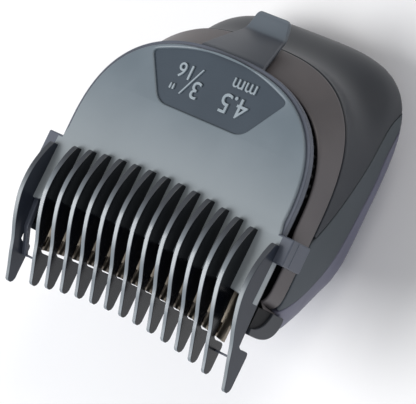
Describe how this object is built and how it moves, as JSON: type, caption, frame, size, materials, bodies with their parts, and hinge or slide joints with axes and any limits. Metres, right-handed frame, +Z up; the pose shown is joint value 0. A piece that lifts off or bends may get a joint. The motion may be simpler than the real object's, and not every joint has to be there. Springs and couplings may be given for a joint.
{
  "type": "hair clipper",
  "caption": "Palm-size cordless hair clipper with a clip-on guide comb, oscillating blade set, sealed motor, cells and a push button.",
  "frame": {"origin": "on the flat patch of the palm side that the clipper rests on, midway across its width", "axes": "+Z up out of the guide comb's plate, +Y towards the thumb tab, comb teeth towards -Y"},
  "size_m": [0.075, 0.0848, 0.0452],
  "materials": {
    "comb_plastic": "satin moulded nylon",
    "bezel_plastic": "satin moulded ABS",
    "black_plastic": "moulded, fine texture",
    "housing_plastic": "satin moulded ABS",
    "grip_rubber": "soft-touch elastomer",
    "palm_plastic": "satin moulded ABS",
    "blade_steel": "ground",
    "screw_steel": "plated",
    "spring_steel": "bright",
    "motor_steel": "zinc plated",
    "magnet": "sintered ferrite",
    "brass": "sintered",
    "drive_plastic": "natural acetal",
    "cell_wrap": "shrink sleeve",
    "board": "solder mask",
    "chip_epoxy": "moulded epoxy",
    "trim_chrome": "plated",
    "button_rubber": "moulded silicone",
    "led": "clear epoxy",
    "lens": "clear acrylic"
  },
  "bodies": {
    "housing": {"head_bezel": "bezel_plastic", "head_deck": "black_plastic", "blade_carrier": "black_plastic", "chin_guard": "housing_plastic", "shoulder_shell": "housing_plastic", "side_grip_left": "grip_rubber", "side_grip_right": "grip_rubber", "palm_cover": "palm_plastic", "mid_frame": "black_plastic", "chassis": "black_plastic", "fixed_blade": "blade_steel", "blade_screws": "screw_steel", "blade_springs": "spring_steel", "motor_can": "motor_steel", "motor_magnets": "magnet", "motor_endcap": "black_plastic", "motor_bushes": "brass", "motor_terminals": "brass", "motor_bracket": "motor_steel", "motor_screws": "screw_steel", "battery_cell_left": "cell_wrap", "battery_cell_right": "cell_wrap", "battery_cradle_left": "black_plastic", "battery_cradle_right": "black_plastic", "battery_tabs": "spring_steel", "circuit_board": "board", "board_components": "chip_epoxy", "button_ring": "trim_chrome", "tact_switch": "chip_epoxy", "status_led": "led", "led_lens": "lens", "charge_socket": "black_plastic", "housing_screws": "screw_steel"},
    "comb": {"guide_comb": "comb_plastic"},
    "cutter": {"moving_blade": "blade_steel", "drive_yoke": "drive_plastic"},
    "rotor": {"motor_shaft": "screw_steel", "motor_rotor": "motor_steel", "eccentric_cam": "drive_plastic"},
    "button": {"power_button": "button_rubber", "switch_plunger": "chip_epoxy"}
  },
  "joints": [
    {"name": "comb_lift", "type": "slide", "parent": "housing", "child": "comb", "axis": [0, 0, 1], "range_m": [0, 0.03]},
    {"name": "cutter_stroke", "type": "slide", "parent": "housing", "child": "cutter", "axis": [1, 0, 0], "range_m": [-0.0012, 0.0012]},
    {"name": "motor_spin", "type": "hinge", "parent": "housing", "child": "rotor", "pos_m": [0, 0, 0.0245], "axis": [0, 1, 0], "continuous": true},
    {"name": "button_press", "type": "slide", "parent": "housing", "child": "button", "axis": [0, 0, 1], "range_m": [0, 0.0006], "stiffness_N_per_m": 1500}
  ]
}
